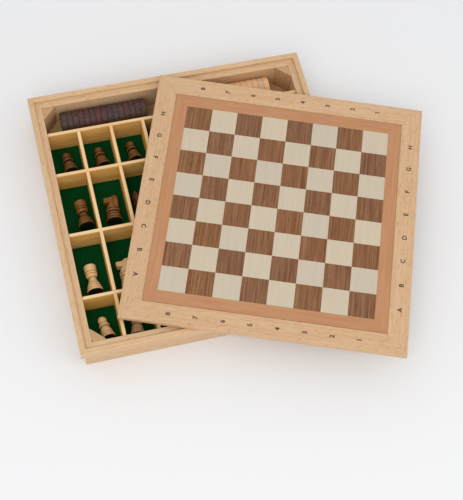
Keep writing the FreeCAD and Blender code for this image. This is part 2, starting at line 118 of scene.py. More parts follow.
class SetSizes(bpy.types.PropertyGroup):
    """Sizes of the finished surfaces that the solids leave plain."""

    rim_ease: length("Rim ease", "Radius of the rounded edges of the tray's rim and walls", 0.9)
    rail_ease: length("Rail ease", "Radius of the rounded edges of the board's rails", 0.8)
    divider_ease: length("Divider ease", "Radius of the rounded edges of the dividers", 0.45)
    veneer_ease: length("Veneer ease", "Radius of the edges of each veneer, which shows as a hairline", 0.07)
    veneer_gap: length("Veneer gap", "Shadow gap between the border and the rails", 0.75)
    disc_ease: length("Disc ease", "Radius of the rounded edge of a draught", 0.7)
    mark_height: length("Mark height", "Height of the letters and numbers on the board's rails", 5.0)
    mark_relief: length("Mark relief", "How far the printed marks stand above the rail", 0.03)
    felt_wave: length("Felt wave", "How far the felt rises and falls where it is glued down", 0.07)


class SetColours(bpy.types.PropertyGroup):
    """Mean colour of each finish."""

    tray: colour("Tray", "Lacquered rubberwood of the walls and the rim", "D6B48C")
    divider: colour("Dividers", "Planed pine of the dividers", "E8C288")
    block: colour("Corner blocks", "Sawn end grain of the corner blocks", "C39D74")
    plywood: colour("Plywood", "Sanded plywood of the tray's floor and the board's core", "C9A673")
    felt: colour("Felt", "Green felt of the cells", "02441A")
    rail: colour("Rails", "Lacquered rubberwood of the board's frame", "D2AE88")
    border: colour("Border", "Reddish veneer round the chess squares", "BD8961")
    walnut: colour("Dark squares", "Walnut veneer", "865834")
    maple: colour("Light squares", "Maple veneer", "CABCA6")
    morris: colour("Morris face", "Pale birch veneer of the underside", "D8C7A4")
    inlay: colour("Morris lines", "Black-stained veneer of the morris lines", "2A1B12")
    mark: colour("Marks", "Printing ink of the letters and numbers", "402616")
    dark_men: colour("Dark men", "Red-brown stain on the turned men", "6A3A0F")
    light_men: colour("Light men", "Lacquered hornbeam of the light men", "E3BF88")
    dark_discs: colour("Dark draughts", "Purple-brown stain on the draughts", "52342F")
    light_discs: colour("Light draughts", "Lacquered beech of the light draughts", "DEB48C")
    base_felt: colour("Base felt", "Dark felt under the men", "0B1A12")
    floor: colour("Floor", "Pale paper that the set stands on", "EDEEF0")


class SetStage(bpy.types.PropertyGroup):
    """Camera and light."""

    azimuth: bearing("Azimuth", "Turn of the camera about the set", -21.55)
    elevation: bearing("Elevation", "Height of the camera above level", 64)
    roll: bearing("Roll", "Turn of the camera about its view", 8.3)
    target: FloatVectorProperty(
        name="Target",
        description="Point that the camera looks at",
        default=(0.0233, -0.063, 0.022),
        unit="LENGTH",
    )
    distance: length("Distance", "How far the camera stands from the target", 1234)
    lens: amount("Lens", "Focal length in millimetres", 86.05, "CAMERA")
    sky: amount("Sky", "Strength of the even light from all round", 0.8)
    key: amount("Key lamp", "Power of the large soft lamp", 7.2, "POWER")
    fill: amount("Fill lamp", "Power of the lamp on the other side", 3.5, "POWER")


class Surface(NamedTuple):
    """A closed skin: its points and faces, and at each point its place in the wood, tone and hollow.

    The faces are arrays, each of faces with the same number of corners. The place in the wood is measured
    along the grain, across it and up. The hollow is how far the point lies below its surroundings. Both are
    in metres.
    """

    points: np.ndarray
    faces: list
    grain: np.ndarray
    tone: np.ndarray
    hollow: np.ndarray


def mesh_points(mesh):
    """The corner points of a mesh."""
    points = np.empty(3 * len(mesh.vertices), np.float32)
    mesh.vertices.foreach_get("co", points)
    return points.reshape(-1, 3).astype(float)


def points_of(node):
    """The corner points of a solid at rest."""
    return mesh_points(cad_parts[node].data)


def stacked(*coordinates):
    """Points from their coordinates, which are first broadcast to one shape."""
    return np.stack(np.broadcast_arrays(*coordinates), axis=-1)


def plan_turn(points, angle):
    """Points turned about the vertical axis: x and y by the sine and cosine of the angle."""
    cosine, sine = math.cos(angle), math.sin(angle)
    turn = np.array([[cosine, -sine, 0], [sine, cosine, 0], [0, 0, 1]])
    return points @ turn.T


def turned(surface, angle, shift=0.0):
    """A surface turned about the vertical axis and then moved."""
    return surface._replace(points=plan_turn(surface.points, angle) + shift)


def tube(rings, grain, tone=0.0, hollow=0.0):
    """A skin over a stack of closed rings.

    Four-sided faces join each ring to the next, and one face closes each end. Rings run up the stack, and
    the points of a ring run anticlockwise seen from its upper end.
    """
    count, around = rings.shape[:2]
    index = np.arange(count * around).reshape(count, around)
    beside = np.roll(index, -1, axis=1)
    quads = np.stack([index[:-1], beside[:-1], beside[1:], index[1:]], axis=-1).reshape(-1, 4)
    faces = [quads, index[:1, ::-1], index[-1:]]
    tone, hollow = (np.broadcast_to(value, (count, around)).ravel() for value in (tone, hollow))
    return Surface(rings.reshape(-1, 3), faces, grain.reshape(-1, 3), tone, hollow)


def own_grain():
    """A place of its own in the wood for one piece, so that no two pieces have the same figure."""
    return random.uniform(-2, 2, 3)


def own_tone():
    """A tone of its own for one piece, from -1 to 1."""
    return random.uniform(-1, 1)


def unit(vector):
    """The direction of a vector, as a vector of length one."""
    return vector / np.linalg.norm(vector)


def eased_outline(corners, radii, steps=4):
    """A closed outline with its corners rounded.

    At each corner the arc's centre lies on the bisector, and the arc leaves both sides at the radius over
    the tangent of half the angle between them.
    """
    corners = np.array(corners, float)
    befores, afters = np.roll(corners, 1, axis=0), np.roll(corners, -1, axis=0)
    arcs = []
    for corner, before, after, radius in zip(corners, befores, afters, radii):
        if radius <= 0:
            arcs.append(corner[None])
            continue
        back, ahead = unit(before - corner), unit(after - corner)
        half = math.acos(np.clip(back @ ahead, -1, 1)) / 2
        centre = corner + unit(back + ahead) * radius / math.sin(half)
        start = corner + back * radius / math.tan(half) - centre
        end = corner + ahead * radius / math.tan(half) - centre
        sweep = math.acos(np.clip(start @ end / radius**2, -1, 1))
        share = np.linspace(0, 1, steps + 1)[:, None]
        spokes = np.sin((1 - share) * sweep) * start + np.sin(share * sweep) * end
        arcs.append(centre + spokes / math.sin(sweep))
    return np.concatenate(arcs)


def mitred_bar(half, outline, quarter):
    """One bar of a square frame: an outline carried along the side, cut at both ends at 45 degrees.

    The outline's points are (distance in from the frame's outer face, height). A point that lies d in runs
    from -(half - d) to half - d along the bar, less a hair's gap at both ends. The bar is then turned by
    quarters about the middle.
    """
    inward, height = outline.T
    reach = half - inward
    along = np.array([[-1], [1]]) * (reach - MITRE_GAP)
    grain = stacked(along, inward, height)
    bar = tube(stacked(along, -reach, height), grain + own_grain(), own_tone())
    return turned(bar, quarter * math.pi / 2)


# A box's edges are rounded by at most this share of its half, and its rings start this near its poles.
MOST_EASE = 0.49
NEAR_POLE = math.radians(84)


def eased_box(low, high, ease, along=0, steps=BOX_STEPS, tone=None):
    """A box with rounded edges, with its grain along one axis.

    Each point is a corner of the smaller box inside plus the radius times the direction at a longitude and
    latitude, so that the longitudes of one corner make one quarter of a ring.
    """
    low, high = np.array(low, float), np.array(high, float)
    half = (high - low) / 2
    ease = min(ease, MOST_EASE * half.min())
    quarter = np.linspace(0, math.pi / 2, steps + 1)
    longitude = (np.arange(4)[:, None] * math.pi / 2 + quarter).ravel()
    latitude = np.concatenate([np.linspace(-NEAR_POLE, 0, steps + 1), np.linspace(0, NEAR_POLE, steps + 1)])
    signs = np.array([[1, 1], [-1, 1], [-1, -1], [1, -1]])
    corner = np.repeat(signs, steps + 1, axis=0) * (half[:2] - ease)
    level = np.repeat([-1, 1], steps + 1) * (half[2] - ease)
    ring = stacked(np.cos(longitude), np.sin(longitude)) * ease
    plan = corner + np.cos(latitude)[:, None, None] * ring
    heights = level + ease * np.sin(latitude)
    rings = stacked(plan[..., 0], plan[..., 1], heights[:, None]) + (low + high) / 2
    grain = np.roll(rings, -along, axis=-1)
    return tube(rings, grain + own_grain(), own_tone() if tone is None else tone)


# The angles of the points round a turned piece.
ANGLES = np.linspace(0, 2 * math.pi, AROUND, endpoint=False)


def lathe(heights, radii, swell=None, tone=0.0):
    """A turned solid: the radius at each height carried round the axis. Its grain runs up the axis.

    swell, where it is given, is an array of heights by angles that is added to the radius. Rings that lie
    on one another become one. A ring's hollow is the mean radius of its neighbours, weighted by nearness,
    less its own.
    """
    kept = np.append(True, np.hypot(np.diff(heights), np.diff(radii)) > LEVEL / 100)
    heights, radii = heights[kept], radii[kept]
    reach = np.broadcast_to(radii[:, None], (len(radii), AROUND))
    if swell is not None:
        reach = reach + swell[kept]
    rings = stacked(reach * np.cos(ANGLES), reach * np.sin(ANGLES), heights[:, None])
    grain = np.roll(rings, 1, axis=-1)
    near = np.exp(-((np.subtract.outer(heights, heights) / HOLLOW_REACH) ** 2))
    hollow = near @ radii / near.sum(axis=1) - radii
    return tube(rings, grain + own_grain(), tone, hollow[:, None])


def placed(surface, matrix):
    """A surface moved by a matrix of four by four."""
    matrix = np.array(matrix)
    return surface._replace(points=surface.points @ matrix[:3, :3].T + matrix[:3, 3])


# What the materials read at each point: the kind of attribute and the name of its entries.
POINT_FIELDS = {
    "grain": ("FLOAT_VECTOR", "vector"),
    "tone": ("FLOAT", "value"),
    "hollow": ("FLOAT", "value"),
}


def make_piece(name, groups, body, nodes, weighted=True):
    """Join surfaces into one mesh object that rides on a body and stands for its solids.

    groups is a list of (material, surfaces), and each material gets a slot of its own. weighted is whether
    flat faces keep flat normals beside rounded edges.
    """
    surfaces = [surface for _material, members in groups for surface in members]
    starts = np.cumsum([0] + [len(surface.points) for surface in surfaces])
    faces = []
    for start, surface in zip(starts, surfaces):
        for block in surface.faces:
            faces += (block + start).tolist()
    mesh = bpy.data.meshes.new(name)
    mesh.from_pydata(np.concatenate([surface.points for surface in surfaces]), [], faces)
    owner = []
    for number, (material, members) in enumerate(groups):
        mesh.materials.append(material)
        owner += [number] * sum(len(block) for surface in members for block in surface.faces)
    mesh.polygons.foreach_set("material_index", owner)
    mesh.polygons.foreach_set("use_smooth", np.ones(len(faces), bool))
    mesh.set_sharp_from_angle(angle=SHARP_ANGLE)
    for field, (kind, entry) in POINT_FIELDS.items():
        values = np.concatenate([getattr(surface, field) for surface in surfaces]).astype(np.float32)
        mesh.attributes.new(field, kind, "POINT").data.foreach_set(entry, values.ravel())
    mesh.update()
    piece = bpy.data.objects.new(name, mesh)
    bpy.context.scene.collection.objects.link(piece)
    if weighted:
        normals = piece.modifiers.new("flat faces", "WEIGHTED_NORMAL")
        normals.keep_sharp = True
    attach(piece, body)
    if nodes:
        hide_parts(*nodes)
    return piece


def refinish(node, material):
    """Give a solid that keeps its own shape a finished material."""
    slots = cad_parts[node].data.materials
    slots.clear()
    slots.append(material)


def add(tree, kind, sockets=None, **settings):
    """Add a node: settings are its properties, and each socket, by name or number, gets a value or link."""
    node = tree.nodes.new(kind)
    for name, value in settings.items():
        setattr(node, name, value)
    for name, value in (sockets or {}).items():
        if isinstance(value, bpy.types.NodeSocket):
            tree.links.new(value, node.inputs[name])
        else:
            node.inputs[name].default_value = value
    return node


def new_material(name):
    """An empty material and its node tree."""
    material = bpy.data.materials.new(name)
    material.use_nodes = True
    material.node_tree.nodes.clear()
    return material, material.node_tree


def finished(material, finish):
    """A material with its shader, whose sockets the finish fills."""
    tree = material.node_tree
    shader = add(tree, "ShaderNodeBsdfPrincipled", finish)
    add(tree, "ShaderNodeOutputMaterial", {"Surface": shader.outputs["BSDF"]})
    return material


def shade(colour_value, power):
    """A darker (power above 1) or lighter (below 1) shade of a colour, which keeps its hue."""
    return tuple(channel**power for channel in colour_value) + (1.0,)


def stretched(tree, place, along_mm, across_mm, **noise):
    """Noise in the wood whose patches are so long along the grain and so wide across it."""
    scale = (1 / (along_mm * MM), 1 / (across_mm * MM), 1 / (across_mm * MM))
    mapping = add(tree, "ShaderNodeMapping", {"Vector": place, "Scale": scale})
    sockets = {"Vector": mapping.outputs["Vector"], "Scale": 1.0} | noise
    return add(tree, "ShaderNodeTexNoise", sockets).outputs["Fac"]


# What goes into a node that carries a value from one range to another, in order.
RANGE_SOCKETS = ("Value", "From Min", "From Max", "To Min", "To Max")


def overlaid(tree, under, over, *span):
    """One colour laid over another, more or less thickly as a pattern rises and falls.

    span is the pattern, the ends of its range, and the upper colour's share at each end. A mix of colours
    has them at sockets 6 and 7, and gives output 2.
    """
    share = add(tree, "ShaderNodeMapRange", dict(zip(RANGE_SOCKETS, span))).outputs["Result"]
    return add(tree, "ShaderNodeMix", {0: share, 6: under, 7: over}, data_type="RGBA").outputs[2]


# Length and width of the vessels in wood, in millimetres.
VESSEL = (6.5, 0.9)


def wood(
    name, mean, contrast, streak, fibre, flecks=0.0, roughness=0.45, shine=0.05,
    tones=0.08, tints=0.0, stain=0.0, turn=None,
):
    """Wood with its figure along the grain.

    streak and fibre are (length, width) in millimetres of the broad and the fine figure, flecks is how dark
    the vessels are, and shine is the weight of the lacquer. tones and tints are how far pieces differ in
    brightness and saturation, and how far the painted light and shade carried in a tone goes. stain is how
    dark the hollows are painted, partly for stain settled there and partly as painted shade, and how light
    the ridges are painted, as painted highlight. Solids have no grain of their own, so they take a turn
    about the vertical instead. Fibres and vessels are drawn wider than real ones, so that they show.
    """
    material, tree = new_material(name)
    if turn is None:
        place = add(tree, "ShaderNodeAttribute", attribute_name="grain").outputs["Vector"]
    else:
        spot = add(tree, "ShaderNodeTexCoord").outputs["Object"]
        sockets = {"Vector": spot, "Rotation": (0, 0, -turn)}
        place = add(tree, "ShaderNodeMapping", sockets).outputs["Vector"]
    broad = stretched(tree, place, *streak, Detail=3.0, Roughness=0.6, Distortion=0.35)
    fine = stretched(tree, place, *fibre, Detail=2.0, Roughness=0.55)
    cloud = stretched(tree, place, streak[0] / 2, 4 * streak[1], Detail=1.0)
    paint = overlaid(tree, shade(mean, 1 + contrast), shade(mean, 1 - contrast), broad, 0.3, 0.7, 0, 1)
    paint = overlaid(tree, paint, shade(mean, 1 + 1.6 * contrast), fine, 0.32, 0.68, 0.5, 0)
    if flecks:
        vessel = stretched(tree, place, *VESSEL, Detail=1.0)
        paint = overlaid(tree, paint, shade(mean, 1.7), vessel, 0.56, 0.7, 0, flecks)
    if stain:
        hollow = add(tree, "ShaderNodeAttribute", attribute_name="hollow").outputs["Fac"]
        # Painted shade: the hollows are darkened, partly for stain settled there and partly as painted
        # shade.
        paint = overlaid(tree, paint, shade(mean, 2.6), hollow, 0.03 * MM, 0.3 * MM, 0, stain)
        # Painted highlight: the ridges are lightened as painted highlight.
        paint = overlaid(tree, paint, shade(mean, 0.7), hollow, -0.04 * MM, -0.3 * MM, 0, 0.7 * stain)
    tone = add(tree, "ShaderNodeAttribute", attribute_name="tone").outputs["Fac"]
    spans = {
        "Hue": (cloud, 0.35, 0.65, 0.497, 0.503),
        "Saturation": (tone, -1, 1, 1 - tints, 1 + tints),
        "Value": (tone, -2, 2, 1 - 2 * tones, 1 + 2 * tones),
        "Roughness": (fine, 0.3, 0.7, roughness + 0.07, roughness - 0.05),
    }
    levels = {}
    for socket, span in spans.items():
        levels[socket] = add(tree, "ShaderNodeMapRange", dict(zip(RANGE_SOCKETS, span))).outputs["Result"]
    rough = levels.pop("Roughness")
    toned = add(tree, "ShaderNodeHueSaturation", {"Color": paint} | levels)
    bump = add(tree, "ShaderNodeBump", {"Height": fine, "Strength": 0.25, "Distance": 0.12 * MM})
    finish = {
        "Base Color": toned.outputs["Color"],
        "Roughness": rough,
        "Normal": bump.outputs["Normal"],
        "Specular IOR Level": 0.32,
        "Coat Weight": shine,
        "Coat Roughness": 0.2,
    }
    return finished(material, finish)


def lacquered_rubberwood(name, mean):
    """Rubberwood under satin lacquer: straight streaks and short brown vessels, wide enough to show."""
    return wood(name, mean, 0.13, (85, 2.4), (22, 1.0), flecks=0.62, shine=0.06, tones=0.02)


def planed_pine(mean):
    """Planed pine without lacquer: golden bands of late wood, dull, with painted shade deeper in colour
    lower down and painted light along the top.
    """
    return wood(
        "planed_pine", mean, 0.3, (110, 3.6), (26, 1.0),
        flecks=0.15, roughness=0.58, shine=0, tones=0.1, tints=-0.19,
    )


def sawn_end_grain(mean):
    """End grain as the saw left it: fine dark specks, because the grain stands upright in the block."""
    return wood(
        "sawn_end_grain", mean, 0.24, (40, 1.3), (16, 0.8),
        flecks=0.4, roughness=0.68, shine=0, tones=0.04,
    )


def sanded_plywood(name, mean, turn):
    """The face of sanded plywood: broad flat figure, dull."""
    return wood(name, mean, 0.18, (70, 6), (24, 1.1), roughness=0.62, shine=0, turn=turn)


def pearwood_veneer(mean):
    """A plain reddish veneer under satin lacquer: close even grain, hardly streaked."""
    return wood("pearwood_veneer", mean, 0.09, (60, 3.5), (20, 0.9), roughness=0.42, tones=0.02)


def walnut_veneer(mean):
    """Walnut under satin lacquer: brown stripes along the grain, another set on each square."""
    return wood("walnut_veneer", mean, 0.27, (70, 1.6), (24, 0.9), flecks=0.35, tones=0.06, tints=0.03)


def maple_veneer(mean):
    """Maple under satin lacquer: nearly plain, each square a little warmer or greyer."""
    return wood("maple_veneer", mean, 0.07, (45, 3), (18, 0.9), roughness=0.42, tones=0.035, tints=0.08)


def birch_veneer(mean, turn):
    """Birch under satin lacquer on the underside: pale with a faint flat figure."""
    return wood("birch_veneer", mean, 0.1, (70, 7), (22, 1), turn=turn)


def stained_inlay(mean, turn):
    """Veneer stained nearly black: only a trace of grain shows."""
    return wood("stained_inlay", mean, 0.1, (50, 2), (20, 0.9), roughness=0.4, turn=turn)


def stained_hornbeam(mean):
    """Turned hornbeam, stained red-brown and lacquered: nearly black in the grooves, partly stain settled
    there and partly painted shade, with painted highlight on the ridges.
    """
    return wood(
        "stained_hornbeam", mean, 0.3, (14, 2.4), (9, 0.7),
        roughness=0.33, shine=0.25, tones=0.4, tints=0.1, stain=1.0,
    )


def lacquered_hornbeam(mean):
    """Turned hornbeam under clear lacquer: pale with a soft sheen, browner in the grooves as painted shade,
    and with painted highlight on the ridges.
    """
    return wood(
        "lacquered_hornbeam", mean, 0.16, (16, 2.4), (9, 0.7),
        roughness=0.36, shine=0.2, tones=0.05, stain=0.4,
    )


def stained_beech(mean):
    """Beech discs stained purple-brown: each took the stain differently, some redder, some greyer."""
    return wood(
        "stained_beech", mean, 0.18, (10, 2), (7, 0.8),
        roughness=0.5, shine=0.04, tones=0.22, tints=0.28,
    )


def lacquered_beech(mean):
    """Beech discs under clear lacquer: pinkish, with short flecks."""
    return wood(
        "lacquered_beech", mean, 0.16, (10, 2.4), (7, 0.8),
        flecks=0.25, shine=0.06, tones=0.12, tints=0.1,
    )


def felt(name, mean):
    """Pressed wool felt: a dull matted nap with lighter fibres, coarser than real so that it shows."""
    material, tree = new_material(name)
    spot = add(tree, "ShaderNodeTexCoord").outputs["Object"]
    nap = stretched(tree, spot, 0.9, 0.9, Detail=4.0, Roughness=0.7)
    cloud = stretched(tree, spot, 14, 14, Detail=2.0)
    paint = overlaid(tree, shade(mean, 1.12), shade(mean, 0.9), nap, 0.3, 0.7, 0, 1)
    paint = overlaid(tree, paint, shade(mean, 1.1), cloud, 0.35, 0.65, 0, 0.35)
    bump = add(tree, "ShaderNodeBump", {"Height": nap, "Strength": 0.6, "Distance": 0.25 * MM})
    finish = {
        "Base Color": paint,
        "Normal": bump.outputs["Normal"],
        "Roughness": 0.95,
        "Specular IOR Level": 0.1,
        "Sheen Weight": 0.06,
        "Sheen Tint": shade(mean, 0.5),
    }
    return finished(material, finish)


def mottled(name, mean, patch_mm, span, powers, finish):
    """Two shades of one colour in soft patches: span carries the noise to the share of the second shade."""
    material, tree = new_material(name)
    spot = add(tree, "ShaderNodeTexCoord").outputs["Object"]
    patches = stretched(tree, spot, patch_mm, patch_mm, Detail=2.0)
    first, second = (shade(mean, power) for power in powers)
    paint = overlaid(tree, first, second, patches, *span)
    return finished(material, {"Base Color": paint} | finish)


def printing_ink(mean):
    """Brown ink printed on the lacquer: flat, a little broken where the grain lifts it."""
    return mottled("printing_ink", mean, 0.8, (0.4, 0.75, 0, 0.5), (1, 0.8), {"Roughness": 0.5})


def seamless_paper(mean):
    """Matt photographer's paper under the set: even, with the faintest tooth."""
    finish = {"Roughness": 0.9, "Specular IOR Level": 0.1}
    return mottled("seamless_paper", mean, 3, (0.3, 0.7, 0, 1), (1.01, 0.99), finish)


# Plan sizes read from the solids.
RIM_LOW, RIM_HIGH = (np.array(corner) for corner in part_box("rim_front"))
OUTER = RIM_HIGH[0]
INNER = -RIM_HIGH[1]
RIM_TOP = RIM_HIGH[2]
WALL_TOP = RIM_LOW[2]
RIM_POINTS = points_of("rim_front")
RABBET = -RIM_POINTS[RIM_POINTS[:, 2] > RIM_TOP - LEVEL, 1].max()
FLOOR_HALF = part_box("tray_floor")[1][0]
FLOOR_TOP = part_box("tray_floor")[1][2]
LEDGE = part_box("corner_blocks")[1][2]
CORE_POINTS = points_of("board_core")
BOARD_MIDDLE = (CORE_POINTS.min(0) + CORE_POINTS.max(0)) * (0.5, 0.5, 0)


def board_turn():
    """The board's turn about the vertical, from the bearing of its core's rightmost corner."""
    corner = CORE_POINTS[CORE_POINTS[:, 0].argmax()] - BOARD_MIDDLE
    return math.atan2(corner[1], corner[0]) - math.pi / 4


BOARD_TURN = board_turn()


def board_half(node):
    """Half the width of a piece of the board, measured along the board's own side."""
    return np.abs(plan_turn(points_of(node) - BOARD_MIDDLE, -BOARD_TURN)[:, :2]).max()


BOARD_OPENING = board_half("chess_border")
FIELD_HALF = max(board_half("light_squares"), board_half("dark_squares"))
SQUARE = 2 * FIELD_HALF / COLUMNS


def on_board(surface):
    """A surface made about the board's middle, put where the board lies."""
    return turned(surface, BOARD_TURN, BOARD_MIDDLE)


def frame_bars(half, outline):
    """The four mitred bars of a square frame."""
    return [mitred_bar(half, outline, quarter) for quarter in range(len(QUARTERS))]


def block_sizes():
    """A corner block's cut-off corner and its leg, along the wall from the corner of the inside."""
    points = points_of("corner_blocks") + np.array([INNER, INNER, 0])
    along_wall = points[(points[:, :2].sum(axis=1) < INNER / 2) & (points[:, 1] < LEVEL), 0]
    return along_wall.min(), along_wall.max()


BLOCK_RELIEF, BLOCK_LEG = block_sizes()
BLOCK_EASE = 0.6 * MM


def corner_block(quarter):
    """A triangular glue block: its outline carried up, drawn in a little at the top to ease the edge.

    The right-angled corner is cut off, which leaves a small hole against the corner of the walls.
    """
    low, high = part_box("corner_blocks")
    relief, leg, ease = BLOCK_RELIEF, BLOCK_LEG, BLOCK_EASE
    outline = eased_outline([(relief, 0), (leg, 0), (0, leg), (0, relief)], (0, ease, ease, 0), 2)
    centre = outline.mean(axis=0)
    heights = np.array([low[2], high[2] - ease / 2, high[2]])
    shares = np.array([1, 1, 1 - ease / leg])
    plan = centre + shares[:, None, None] * (outline - centre) - INNER
    rings = stacked(plan[..., 0], plan[..., 1], heights[:, None])
    block = tube(rings, np.roll(rings, 1, axis=-1) + own_grain(), own_tone())
    return turned(block, quarter * math.pi / 2)


class GAMESET_OT_tray_case(bpy.types.Operator):
    """Build the tray's walls, rim, corner blocks and floor"""

    bl_idname = "gameset.tray_case"
    bl_label = "Tray case"

    def execute(self, context):
        sizes, colours = context.scene.set_sizes, context.scene.set_colours
        ease = sizes.rim_ease
        timber = lacquered_rubberwood("lacquered_rubberwood_tray", colours.tray)
        wall_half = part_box("wall_front")[1][0]
        thick = wall_half - INNER
        housing = wall_half - FLOOR_HALF
        wall = eased_outline(
            [
                (0, 0), (housing, 0), (housing, FLOOR_TOP),
                (thick, FLOOR_TOP), (thick, WALL_TOP), (0, WALL_TOP),
            ],
            (ease, 0, 0, 0, 0, 0),
        )
        lip = OUTER - RABBET
        wide = OUTER - INNER
        rim = eased_outline(
            [(0, WALL_TOP), (wide, WALL_TOP), (wide, LEDGE), (lip, LEDGE), (lip, RIM_TOP), (0, RIM_TOP)],
            (ease, 0, ease / 2, 0, ease, ease),
        )
        walls = frame_bars(wall_half, wall)
        rims = frame_bars(OUTER, rim)
        for side, wall_bar, rim_bar in zip(QUARTERS, walls, rims):
            make_piece("board_wall_" + side, [(timber, [wall_bar])], "tray", ["wall_" + side])
            make_piece("rail_rim_" + side, [(timber, [rim_bar])], "tray", ["rim_" + side])
        blocks = [corner_block(quarter) for quarter in range(len(QUARTERS))]
        sawn = sawn_end_grain(colours.block)
        make_piece("glue_blocks", [(sawn, blocks)], "tray", ["corner_blocks"])
        refinish("tray_floor", sanded_plywood("sanded_plywood_floor", colours.plywood, 0.0))
        return {"FINISHED"}


# How far the felt's three waves run, along x, along y and along their sum, in one radian.
FELT_WAVES = (9 * MM, 7 * MM, 23 * MM)

# Steps along each side of the felt, rings from its edge in, and the shares of the first and the last ring.
FELT_SIDE_STEPS = 60
FELT_RINGS = 70
FELT_SHARES = (0.999, 0.02)


def felt_sheet(wave):
    """The lining: its outline drawn in towards the middle in steps, with a gentle rise and fall.

    The height at a place is the felt's top plus the wave times the product of three sines of that place.
    """
    low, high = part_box("felt_lining")
    leg = BLOCK_LEG
    corners = [
        (-INNER + leg, low[1]), (INNER - leg, low[1]), (INNER, low[1] + leg),
        (INNER, high[1]), (-INNER, high[1]), (-INNER, low[1] + leg),
    ]
    outline = np.array(corners)
    ends = np.roll(outline, -1, axis=0)
    share = np.linspace(0, 1, FELT_SIDE_STEPS, endpoint=False)[:, None]
    edge = np.concatenate([start + share * (end - start) for start, end in zip(outline, ends)])
    middle = (edge.min(axis=0) + edge.max(axis=0)) / 2
    steps = np.concatenate([[1, 1], np.linspace(*FELT_SHARES, FELT_RINGS)])
    plan = middle + steps[:, None, None] * (edge - middle)
    along, across, aslant = FELT_WAVES
    rise = np.sin(plan[..., 0] / along) * np.sin(plan[..., 1] / across + 1)
    height = high[2] + wave * rise * np.sin((plan[..., 0] + plan[..., 1]) / aslant)
    height[0] = low[2]
    rings = stacked(plan[..., 0], plan[..., 1], height)
    return tube(rings, rings)


# Tones of the rings of a divider, painted light and shade: painted shade low at its foot, and painted light
# rising along the edge of its top.
FOOT_PAINTED_SHADE = -1.7
TOP_PAINTED_LIGHT = (-0.8, 0.4)
STRIP_PAINTED_LIGHT_AND_SHADE = np.append(np.full(BOX_STEPS + 1, FOOT_PAINTED_SHADE), np.linspace(*TOP_PAINTED_LIGHT, BOX_STEPS + 1))[:, None]


class GAMESET_OT_lining(bpy.types.Operator):
    """Build the felt and the dividers of the cells"""

    bl_idname = "gameset.lining"
    bl_label = "Felt and dividers"

    def execute(self, context):
        sizes, colours = context.scene.set_sizes, context.scene.set_colours
        green = felt("pressed_wool_felt", colours.felt)
        sheet = felt_sheet(sizes.felt_wave)
        lining = make_piece(
            "felt_sheet", [(green, [sheet])], "tray", ["felt_lining"], weighted=False
        )
        low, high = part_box("felt_lining")
        pine = planed_pine(colours.divider)
        ease = sizes.divider_ease
        rows = ["draughts_divider"] + ["row_divider_%d" % number for number in (1, 2, 3)]
        faces = []
        for node in rows:
            low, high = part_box(node)
            faces.append((low[1], high[1]))
            # The strip's tones carry painted shade at its foot and painted light along its top edge.
            strip = eased_box(low, high, ease, tone=STRIP_PAINTED_LIGHT_AND_SHADE)
            make_piece("strip_" + node, [(pine, [strip])], "tray", [node])
        low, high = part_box("column_dividers")
        thick = faces[0][1] - faces[0][0]
        ends = [face for pair in faces for face in pair[::-1]][1:] + [low[1]]
        strips = []
        for left in np.linspace(low[0], high[0] - thick, COLUMNS - 1):
            for far, near in zip(ends[::2], ends[1::2]):
                corner = (left, near, low[2])
                far_corner = (left + thick, far, high[2])
                # Each column strip's tones carry painted shade at its foot and painted light along its top
                # edge.
                strips.append(eased_box(corner, far_corner, ease, along=1, tone=STRIP_PAINTED_LIGHT_AND_SHADE))
        make_piece("strips_columns", [(pine, strips)], "tray", ["column_dividers"])
        return {"FINISHED"}


def mark(character, height, relief):
    """A printed letter or number as a thin solid, centred on the origin and standing along +Y."""
    text = bpy.data.curves.new("mark", "FONT")
    text.body = character
    text.extrude = relief
    text.offset = BOLD_SHARE
    holder = bpy.data.objects.new("mark", text)
    mesh = bpy.data.meshes.new_from_object(holder)
    points = mesh_points(mesh)
    low, high = points.min(axis=0), points.max(axis=0)
    points[:, :2] = (points[:, :2] - (low + high)[:2] / 2) * height / (high[1] - low[1])
    faces = [np.array([polygon.vertices[:]]) for polygon in mesh.polygons]
    bpy.data.objects.remove(holder)
    bpy.data.curves.remove(text)
    bpy.data.meshes.remove(mesh)
    flat = np.zeros(len(points))
    return Surface(points, faces, points.copy(), flat, flat)


def rail_marks(height, relief, level, reach):
    """Letters up the two side rails and numbers along the other two, each beside its row of squares.

    A letter's head points in towards the board, and a number's head to the left.
    """
    marks = []
    for number in range(COLUMNS):
        place = (number - (COLUMNS - 1) / 2) * SQUARE
        letter = mark(LETTERS[number], height, relief)
        numeral = mark(str(COLUMNS - number), height, relief)
        for side in (-1, 1):
            marks.append(turned(letter, side * math.pi / 2, (side * reach, place, level)))
            marks.append(turned(numeral, math.pi / 2, (place, side * reach, level)))
    return [on_board(surface) for surface in marks]


